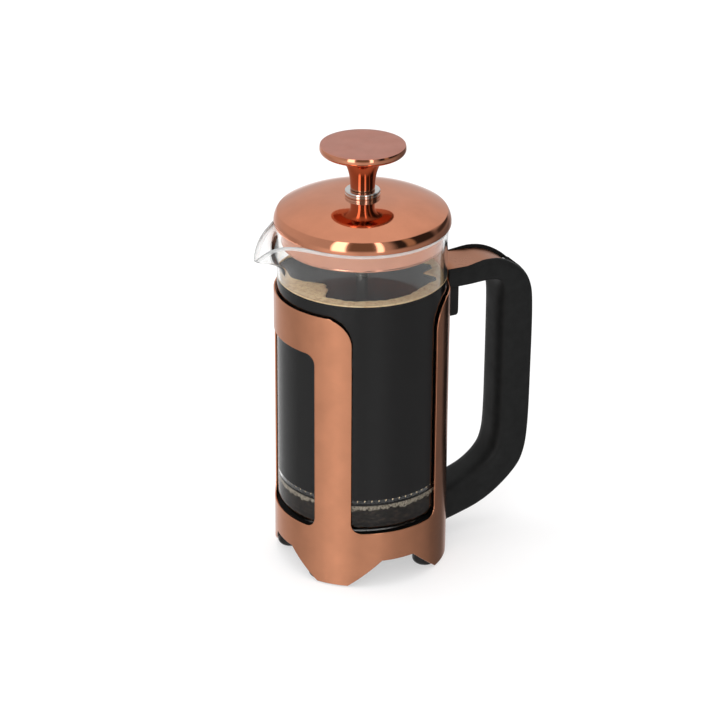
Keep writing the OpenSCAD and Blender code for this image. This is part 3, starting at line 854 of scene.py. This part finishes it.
def coffee_wall():
    """The coffee's outer skin against the glass, from the surface down to the glass floor."""
    inner_corner = GLASS_CORNER - GLASS_WALL
    floor_z = GLASS_Z + GLASS_FLOOR
    heights = [COFFEE_Z, 128, 120, 110, 95, 80, 65, 50, 44, 42] + list(np.arange(COIL_HI + 0.2, 35.5, -0.2))
    heights += list(np.arange(35.2, floor_z + inner_corner, -0.35))
    line = [(COIL_SEAT_R if COIL_LO < z < COIL_HI else WET_R, z) for z in heights]
    line += arc(WET_R - inner_corner, floor_z + inner_corner, inner_corner + WET, 0, -90, 8)
    line += [(18.0, floor_z - WET), (6.0, floor_z - WET)]
    count = 360
    rings, bed, froth = [], [], []
    for r, z in line:
        ring = []
        for k in range(count):
            angle = 360 * k / count
            ring.append(from_lip(r, angle, z))
            uneven = ripple(angle, (7, 13, 29, 47)) + 0.5 * ripple(angle, (83, 111))
            top = BED_Z + 0.7 + 0.25 * uneven
            bed.append(clamp((top - z) / 0.7))
            under = FROTH_LO - 0.7 * uneven + 0.4 * ripple(angle, (19, 61))
            over = FROTH_HI + 0.08 * ripple(angle, (3, 5))
            froth.append(clamp(min((over - z) / 0.2, (z - under) / 0.5)))
        rings.append(ring)
    points, faces = stack(rings)
    return points, faces[:-2] + [faces[-1]], bed, froth


points, faces, bed, froth = coffee_wall()
coffee = piece("coffee", points, faces, "beaker", "clear_glass", "coffee", sharp=60, weighted=False)
for name, values in (("bed", bed), ("froth", froth)):
    layer = coffee.data.attributes.new(name, "FLOAT", "POINT")
    layer.data.foreach_set("value", np.array(values, np.float32))


def crema_edge(angle):
    """Inner radius of the foam ring, at an angle from the lip towards the near side."""
    def hump(middle, width, height):
        gap = (angle - middle + 180) % 360 - 180
        return height * math.exp(-(gap / width) ** 2)

    edge = 27.6 + 0.5 * ripple(angle, (5, 9, 14)) + 0.25 * ripple(angle, (31, 43))
    return min(WET_R - 0.8, edge - hump(8, 17, 9.5) - hump(24, 5, 2.2) + hump(31, 5, 1.4) + hump(-44, 26, 6.6)
               + hump(147, 9, 4.2) - hump(158, 5, 3.0) + hump(172, 9, 3.5) - hump(228, 24, 4.5))


def coffee_surface():
    """The coffee's upper face, with a low meniscus at the glass."""
    count = 240
    rings = []
    for r in [0.5, 4, 8, 12, 16, 20, 24, 28, 31, 32.5, 33.4, 33.9, 34.15, WET_R]:
        climb = 0.45 * math.exp(-(BORE_R - min(r, BORE_R)) / 0.8)
        rings.append([(r * math.cos(a), r * math.sin(a), COFFEE_Z - 0.45 + climb)
                      for a in np.arange(count) * 2 * math.pi / count])
    points, faces = stack(rings)
    return points, faces[:-1]


surface = piece("coffee_surface", *coffee_surface(), "beaker", "clear_glass", "coffee_top",
                sharp=60, weighted=False)
face_out(surface, lambda c: (0, 0, 1))


def crema():
    """A thin raft of foam round the glass, thinner at its ragged inner edge."""
    count = 480
    shares = [0.0, 0.04, 0.1, 0.2, 0.35, 0.5, 0.65, 0.8, 0.9, 0.97, 1.0]
    upper, lower = [], []
    for share in shares:
        top, base = [], []
        for k in range(count):
            angle = 360 * k / count
            inner = crema_edge(angle)
            r = inner + (WET_R - 0.06 - inner) * share
            swell = 0.12 * ripple(angle + 40 * share, (6, 17, 33)) * math.sin(math.pi * share)
            climb = 0.5 * math.exp(-(1 - share) * (WET_R - inner) / 0.9)
            height = 0.42 * min(1.0, (share / 0.12) ** 0.5) if share > 0 else 0.0
            top.append(from_lip(r, angle, COFFEE_Z - 0.42 + height + swell + climb))
            base.append(from_lip(r, angle, COFFEE_Z - 0.62))
        upper.append(top)
        lower.append(base)
    return stack(upper + lower[::-1], closed=True)


piece("crema", *crema(), "beaker", "clear_glass", "crema", sharp=60, weighted=False)


# ---- Lid

LID_HOLE_R, FLAT_R, DOME_END, SIDE_END = 4.1, 8.0, 59.0, 34.0
SHOULDER_Z = LID_Z + 0.7
TURN_X = LID_R - SHOULDER_R + (SHOULDER_R - TURN_R) * math.cos(math.radians(SIDE_END))
TURN_Z = SHOULDER_Z + (SHOULDER_R - TURN_R) * math.sin(math.radians(SIDE_END))
DOME_R = TURN_X + TURN_R * math.cos(math.radians(DOME_END))
DOME_DROP = LID_TOP - TURN_Z - TURN_R * math.sin(math.radians(DOME_END))
# The dome runs into the turn without an edge
DOME_POWER = (DOME_R - FLAT_R) / DOME_DROP / math.tan(math.radians(DOME_END))


def lid_line(depth):
    line = [(r, LID_TOP - depth) for r in (LID_HOLE_R, 6.0, 7.2)]
    line += [(FLAT_R + (DOME_R - FLAT_R) * t, LID_TOP - depth - DOME_DROP * t ** DOME_POWER)
             for t in np.linspace(0, 0.985, 48)]
    line += arc(TURN_X, TURN_Z, TURN_R - depth, DOME_END, SIDE_END, 8)
    line += arc(LID_R - SHOULDER_R, SHOULDER_Z, SHOULDER_R - depth, SIDE_END - 2, 0, 16)
    return line


lower_edge = [(LID_R, LID_Z + 0.3), (LID_R - 0.06, LID_Z + 0.16), (LID_R - 0.2, LID_Z + 0.1),
              (LID_R - 0.6, LID_Z + 0.1), (LID_R - LID_T, LID_Z + 0.25)]
outline = lid_line(0) + lower_edge + lid_line(LID_T)[::-1]
piece("lid_dome", *lathe(outline, 256), "lid", "lid_copper", "lid", ["lid_cover"], weighted=False)

wall_in = SKIRT_R - LID_T
flange_r = LID_R - LID_T - TOUCH
groove_r = SKIRT_R - 0.18
outline = soft_corners([
    (LID_HOLE_R, LID_Z + LID_T), (flange_r, LID_Z + LID_T, 0.2), (flange_r, LID_Z, 0.3),
    (SKIRT_R, LID_Z, 0.5), (SKIRT_R, SKIRT_Z + 4.2),
    (groove_r, SKIRT_Z + 3.7, 0.2), (groove_r, SKIRT_Z + 0.9),
    (SKIRT_R, SKIRT_Z + 0.55, 0.2), (SKIRT_R, SKIRT_Z, 0.38), (wall_in, SKIRT_Z, 0.38),
    (wall_in, LID_Z, 0.8), (LID_HOLE_R, LID_Z)])
piece("lid_skirt", *lathe(outline, 256), "lid", "lid_copper", "skirt", ["lid_insert"])

ring_lo, ring_hi = LID_TOP + TOUCH, LID_TOP + COLLAR_H
outline = soft_corners([
    (ROD_R + TOUCH, ring_hi, 0.15), (COLLAR_R - 0.5, ring_hi, 0.3), (COLLAR_R, ring_hi - 0.5, 0.25),
    (COLLAR_R, LID_TOP + 1.3, 0.08), (COLLAR_R - 0.3, LID_TOP + 1.15, 0.08), (COLLAR_R, LID_TOP + 1.0, 0.08),
    (COLLAR_R, ring_lo, 0.2), (4.0, ring_lo), (4.0, LID_Z - 4.2, 0.3), (ROD_R + TOUCH, LID_Z - 4.2, 0.2)])
piece("lid_collar_ring", *lathe(outline, 128), "lid", "collar_chrome", "collar", ["lid_collar"])


def hex_nut(r, hole, z, h):
    """A hexagonal nut with chamfered corners and a bore."""
    count = 96
    angles = np.arange(count) * 2 * math.pi / count
    flats = [r * math.cos(math.pi / 6) / math.cos((a % (math.pi / 3)) - math.pi / 6) for a in angles]

    def ring(radii, height):
        return [(q * math.cos(a), q * math.sin(a), height) for q, a in zip(radii, angles)]

    cone = r * 0.9
    levels = []
    for edge, inner in ((z, z + 0.5), (z + h, z + h - 0.5)):
        levels.append([
            ring([hole] * count, edge + (inner - edge) * 0.7), ring([hole + 0.35] * count, edge),
            ring([min(f, cone) for f in flats], edge),
            ring([min(f, cone + 0.35) for f in flats], edge + (inner - edge) * 0.4), ring(flats, inner)])
    return stack(levels[0] + levels[1][::-1], closed=True)


piece("collar_nut_hex", *hex_nut(7, 4.05, LID_Z - 3.2, 3.1),
      "lid", "collar_chrome", "collar", ["collar_nut"], sharp=25)


# ---- Plunger

STEM_Z = LID_TOP + COLLAR_H + 0.1
DISC_Z = KNOB_TOP - KNOB_DISC
outline = [(0, STEM_Z), (STEM_R - 0.3, STEM_Z), (STEM_R - 0.08, STEM_Z + 0.12), (STEM_R, STEM_Z + 0.4)]
outline += [(STEM_R + (STEM_TOP_R - STEM_R) * t ** 2.4, STEM_Z + 0.4 + (DISC_Z - STEM_Z - 0.4) * t)
            for t in np.linspace(0.04, 0.985, 30)]
outline += [(STEM_TOP_R + 0.3, DISC_Z - 0.02), (STEM_TOP_R + 1.2, DISC_Z), (KNOB_R - 3, DISC_Z)]
outline += arc(KNOB_R - DISC_ROUND, DISC_Z + DISC_ROUND, DISC_ROUND, -90, 0, 12)
# The side of the disc bulges a little, and meets the top face in a soft edge
BULGE_R, BULGE_END = 5.0, 18
outline += arc(KNOB_R - BULGE_R, DISC_Z + DISC_ROUND, BULGE_R, 2, BULGE_END, 8)
bulge_x, bulge_z = outline[-1]
outline += [(bulge_x - 0.05, bulge_z + 0.09), (bulge_x - 0.16, bulge_z + 0.14)]
outline += [(KNOB_R - 2.5, KNOB_TOP - 0.09), (KNOB_R - 6, KNOB_TOP - 0.05), (KNOB_R - 12, KNOB_TOP - 0.01),
            (0, KNOB_TOP)]
knob = piece("knob_body", *lathe(outline, 200), "plunger", "knob_copper", "knob", ["knob"], weighted=False)
knob.data.materials.append(LOOKS["knob_top"])
knob.data.materials.append(LOOKS["knob_stem_painted_shade"])
for face in knob.data.polygons:
    if face.center.z > (KNOB_TOP - 0.2) * MM and face.normal.z > 0.9:
        face.material_index = 1
    # Faces under the disc take the darker copper, a painted shade under the disc
    elif face.center.z < (DISC_Z + 0.01) * MM:
        face.material_index = 2

outline = [(0, FILTER_Z - 5), (ROD_R - 0.6, FILTER_Z - 5), (ROD_R - 0.25, FILTER_Z - 4.6)]
for turn in np.arange(FILTER_Z - 4.5, FILTER_Z + 6, 0.6):
    outline += [(ROD_R - 0.02, turn + 0.12), (ROD_R - 0.02, turn + 0.2), (ROD_R - 0.25, turn + 0.45)]
rod_top = 179.9
outline += [(ROD_R, FILTER_Z + 6.6), (ROD_R, 100), (ROD_R, 179), (ROD_R - 0.4, rod_top), (0, rod_top)]
piece("rod", *lathe(outline, 64), "plunger", "filter_steel", "steel", ["plunger_rod"])

PLATE_Z, PLATE_T = FILTER_Z + 0.45, 0.8
# Each nut's size, lowest height and height
for node, r, z, h in (("plate_nut", 6.4, PLATE_Z + PLATE_T, 3.6), ("rod_end_nut", 6.0, FILTER_Z - 4.6, 3.5)):
    nut = hex_nut(r, ROD_R + 0.02, z, h)
    piece(f"{node}_hex", *nut, "plunger", "filter_steel", "steel", [node], sharp=25)
for plate in ("spiral_plate", "cross_plate"):
    softened(plate, "steel", "plunger", 0.15)


def coil():
    """One long wire wound round the edge of the plate."""
    wire, turns, per_turn, sides = 0.34, 70, 18, 6
    ring_r = BORE_R - 0.5 - COIL_R
    middle_z = FILTER_Z + 3.9
    count = turns * per_turn
    reach = COIL_R - wire
    phase = np.arange(count) * 2 * math.pi / per_turn
    around = np.arange(count) * 2 * math.pi / count
    centre = np.stack([(ring_r + reach * np.cos(phase)) * np.cos(around),
                       (ring_r + reach * np.cos(phase)) * np.sin(around),
                       middle_z + reach * np.sin(phase)], 1)
    along = np.roll(centre, -1, 0) - np.roll(centre, 1, 0)
    along /= np.linalg.norm(along, axis=1)[:, None]
    out = np.stack([np.cos(phase) * np.cos(around), np.cos(phase) * np.sin(around), np.sin(phase)], 1)
    side = np.cross(along, out)
    side /= np.linalg.norm(side, axis=1)[:, None]
    out = np.cross(side, along)
    turn = np.arange(sides) * 2 * math.pi / sides
    across = np.cos(turn)[None, :, None] * out[:, None, :] + np.sin(turn)[None, :, None] * side[:, None, :]
    return stack(list(centre[:, None, :] + wire * across), closed=True)


piece("coil_wire", *coil(), "plunger", "filter_steel", "coil", ["coil_spring"], sharp=80, weighted=False)

screen_t, screen_top = 0.35, FILTER_Z + 2.4
outline = soft_corners([
    (ROD_R + 0.02, FILTER_Z), (SCREEN_R, FILTER_Z, 0.5), (SCREEN_R, screen_top, 0.18),
    (SCREEN_R - screen_t, screen_top, 0.18), (SCREEN_R - screen_t, FILTER_Z + screen_t, 0.3),
    (ROD_R + 0.02, FILTER_Z + screen_t)])
piece("mesh_cup", *lathe(outline, 160), "plunger", "filter_mesh", "mesh", ["mesh_screen"])


# ---- Stage

CAMERA_AZIMUTH = math.radians(-26.0)
TOWARDS = Vector((math.sin(CAMERA_AZIMUTH), -math.cos(CAMERA_AZIMUTH), 0))
RIGHT = Vector((math.cos(CAMERA_AZIMUTH), math.sin(CAMERA_AZIMUTH), 0))
AXIS = Vector((AXIS_X, 0, 0))


def around(angle, distance, height):
    """A point round the press: angle 0 is towards the camera, and positive is to the picture's right."""
    turn = math.radians(angle)
    return AXIS + distance * (math.cos(turn) * TOWARDS + math.sin(turn) * RIGHT) + Vector((0, 0, height))


def aim(obj, where, target):
    obj.location = where
    obj.rotation_mode = "QUATERNION"
    obj.rotation_quaternion = (target - where).to_track_quat("-Z", "Y")


def lamp(name, where, target, width, height, power):
    light = bpy.data.lights.new(name, "AREA")
    light.shape = "RECTANGLE"
    light.size, light.size_y = width, height
    light.energy = power
    obj = linked(name, light)
    aim(obj, where, target)
    obj.visible_camera = False
    obj.visible_glossy = False


def stage_look(name, tint, spread, glow):
    """A pale sheet. It gives off light of its own, which keeps the shadows on it soft and light."""
    look = Look(name, Roughness=0.9, Emission_Color=(1, 1, 1, 1), Emission_Strength=glow)
    look.mottle(tint, 40, 3, 1 - spread, 1 + spread)
    return look.mat


def sheet(name, half, look):
    mesh = bpy.data.meshes.new(name)
    corners = [(-half, -half, 0), (half, -half, 0), (half, half, 0), (-half, half, 0)]
    mesh.from_pydata(corners, [], [(0, 1, 2, 3)])
    mesh.materials.append(look)
    obj = linked(name, mesh)
    return obj


floor = sheet("floor", 4.0, stage_look("floor_pale", (0.46, 0.455, 0.455), 0.01, 0.51))
# Metal and glass see the studio round the press, set out below, and not the bare floor
floor.visible_glossy = False

middle = AXIS + Vector((0, 0, 0.1))
lamp("top_soft", AXIS + Vector((-0.3, 0.2, 1.5)), middle, 1.6, 1.6, 9.0)
lamp("side_soft", around(-75, 1.3, 0.8), middle, 1.0, 1.2, 2.0)
lamp("front_soft", around(-15, 1.3, 0.75), middle, 0.9, 0.9, 4.0)


class Studio(Nodes):
    """The world: plain white, and for reflections a studio of soft lights and cards painted on its sky.

    Bearings are in degrees round the press, 0 towards the camera and positive to the picture's right.
    Heights are in degrees above the horizon.
    """

    def __init__(self):
        world = bpy.data.worlds.new("studio")
        world.use_nodes = True
        # Only rays that reach the sky see it, so that each kind of ray gets its own sky
        world.cycles.sampling_method = "NONE"
        bpy.context.scene.world = world
        self.tree = world.node_tree
        sky = self.add("ShaderNodeTexCoord").outputs["Generated"]
        right, towards, up = (self.dot(sky, axis) for axis in (RIGHT, TOWARDS, Vector((0, 0, 1))))
        turn = 180 / math.pi
        self.bearing = self.math("MULTIPLY", self.math("ARCTAN2", right, towards), turn)
        self.offside = self.math("ABSOLUTE", self.bearing)
        self.height = self.math("MULTIPLY", self.math("ARCSINE", up), turn)
        self.colour = (1.0, 1.0, 1.0)

    def dot(self, a, b):
        return self.add("ShaderNodeVectorMath", {0: a, 1: b}, operation="DOT_PRODUCT").outputs["Value"]

    def step(self, value, start, end):
        """0 at start and 1 at end, smoothly. The end may be the lower of the two."""
        flip = start > end
        return self.add("ShaderNodeMapRange", {
            "Value": value, "From Min": min(start, end), "From Max": max(start, end),
            "To Min": 1.0 if flip else 0.0, "To Max": 0.0 if flip else 1.0},
            interpolation_type="SMOOTHSTEP").outputs[0]

    def within(self, value, low, high, soft):
        up, down = self.step(value, low - soft, low + soft), self.step(value, high + soft, high - soft)
        return self.math("MULTIPLY", up, down)

    def lights(self, value, low, high, stops):
        """A brightness that follows value from low to high. Each stop is (value, brightness)."""
        share = self.add("ShaderNodeMapRange", {"Value": value, "From Min": low, "From Max": high}).outputs[0]
        return self.ramp(share, [((where - low) / (high - low), (light,) * 3) for where, light in stops])

    def paint(self, share, light, tint=(1.0, 1.0, 1.0)):
        """Paints a light over what is there, where share is 1. The light is a number or a ramp."""
        colour = light if isinstance(light, bpy.types.NodeSocket) else shade(tint, light)
        self.colour = self.mix(share, self.colour, colour)

    def patch(self, bearings, heights, light, soft=(6.0, 6.0), tint=(1.0, 1.0, 1.0)):
        share = self.math("MULTIPLY", self.within(self.bearing, *bearings, soft[0]),
                          self.within(self.height, *heights, soft[1]))
        self.paint(share, light, tint)

    def finish(self, plain):
        """The painted sky for reflections, and a plain one for everything else."""
        glossy = self.add("ShaderNodeLightPath").outputs["Is Glossy Ray"]
        both = self.mix(glossy, (plain,) * 3, self.colour)
        self.tree.links.new(both, self.tree.nodes["Background"].inputs["Color"])


studio = Studio()
# The sky: darker in front and at the sides, lighter behind and overhead
studio.paint(1.0, studio.lights(studio.bearing, -180, 180, [(-100, 0.60), (-20, 0.50), (100, 0.42)]))
back = studio.lights(studio.height, 0, 90, [(5, 0.60), (60, 0.80)])
studio.paint(studio.step(studio.offside, 115, 145), back)
studio.paint(studio.step(studio.height, 38, 66), 0.80)
# The floor and the low cards round it
low_cards = studio.lights(studio.bearing, -180, 180, [
    (-180, 0.90), (-157, 0.75), (-129, 0.54), (-95, 0.44), (-63, 0.62), (-33, 0.87), (-14, 0.72), (-2, 0.58),
    (20, 0.65), (46, 0.44), (92, 0.30), (112, 0.17), (142, 0.14), (165, 0.50), (180, 0.90)])
studio.paint(studio.step(studio.height, 0, -12), low_cards)
# Dark cards at the horizon
studio.patch((40, 106), (-6, 44), 0.03, (8, 7))
studio.patch((106, 148), (-6, 14), 0.05, (8, 7))
studio.patch((-18, 17), (-6, 48), 0.18, (5, 8), (1.0, 0.90, 0.74))
studio.patch((58, 70), (-4, 48), 0.36, (3, 8), (1.0, 0.90, 0.70))
# Two bright upright lights
studio.patch((-39, -21), (-12, 50), 3.2, (2.5, 6))
studio.patch((18.5, 27), (-12, 50), 2.8, (2, 6))
studio.finish(plain=1.02)
bpy.context.scene.view_settings.view_transform = "Standard"

# Metres from the axis, up and to the right, and the tilt and roll in radians
DISTANCE, HEIGHT, OFFSET, TILT, ROLL = 1.1101, 0.6163, -0.000674, 0.4427, 0.0061
camera = bpy.data.cameras.new("camera")
camera.sensor_width = 36.0
camera.lens = 2888.9 / 720 * 36.0
camera.clip_start, camera.clip_end = 0.05, 30.0
camera_object = linked("camera", camera)
forward = -TOWARDS * math.cos(TILT) + Vector((0, 0, -math.sin(TILT)))
up = -TOWARDS * math.sin(TILT) + Vector((0, 0, math.cos(TILT)))
camera_x = math.cos(ROLL) * RIGHT + math.sin(ROLL) * up
camera_y = -math.sin(ROLL) * RIGHT + math.cos(ROLL) * up
camera_place = AXIS + TOWARDS * DISTANCE + RIGHT * OFFSET + Vector((0, 0, HEIGHT))
camera_turn = Matrix((camera_x, camera_y, -forward)).transposed().to_4x4()
camera_object.matrix_world = Matrix.Translation(camera_place) @ camera_turn
bpy.context.scene.camera = camera_object
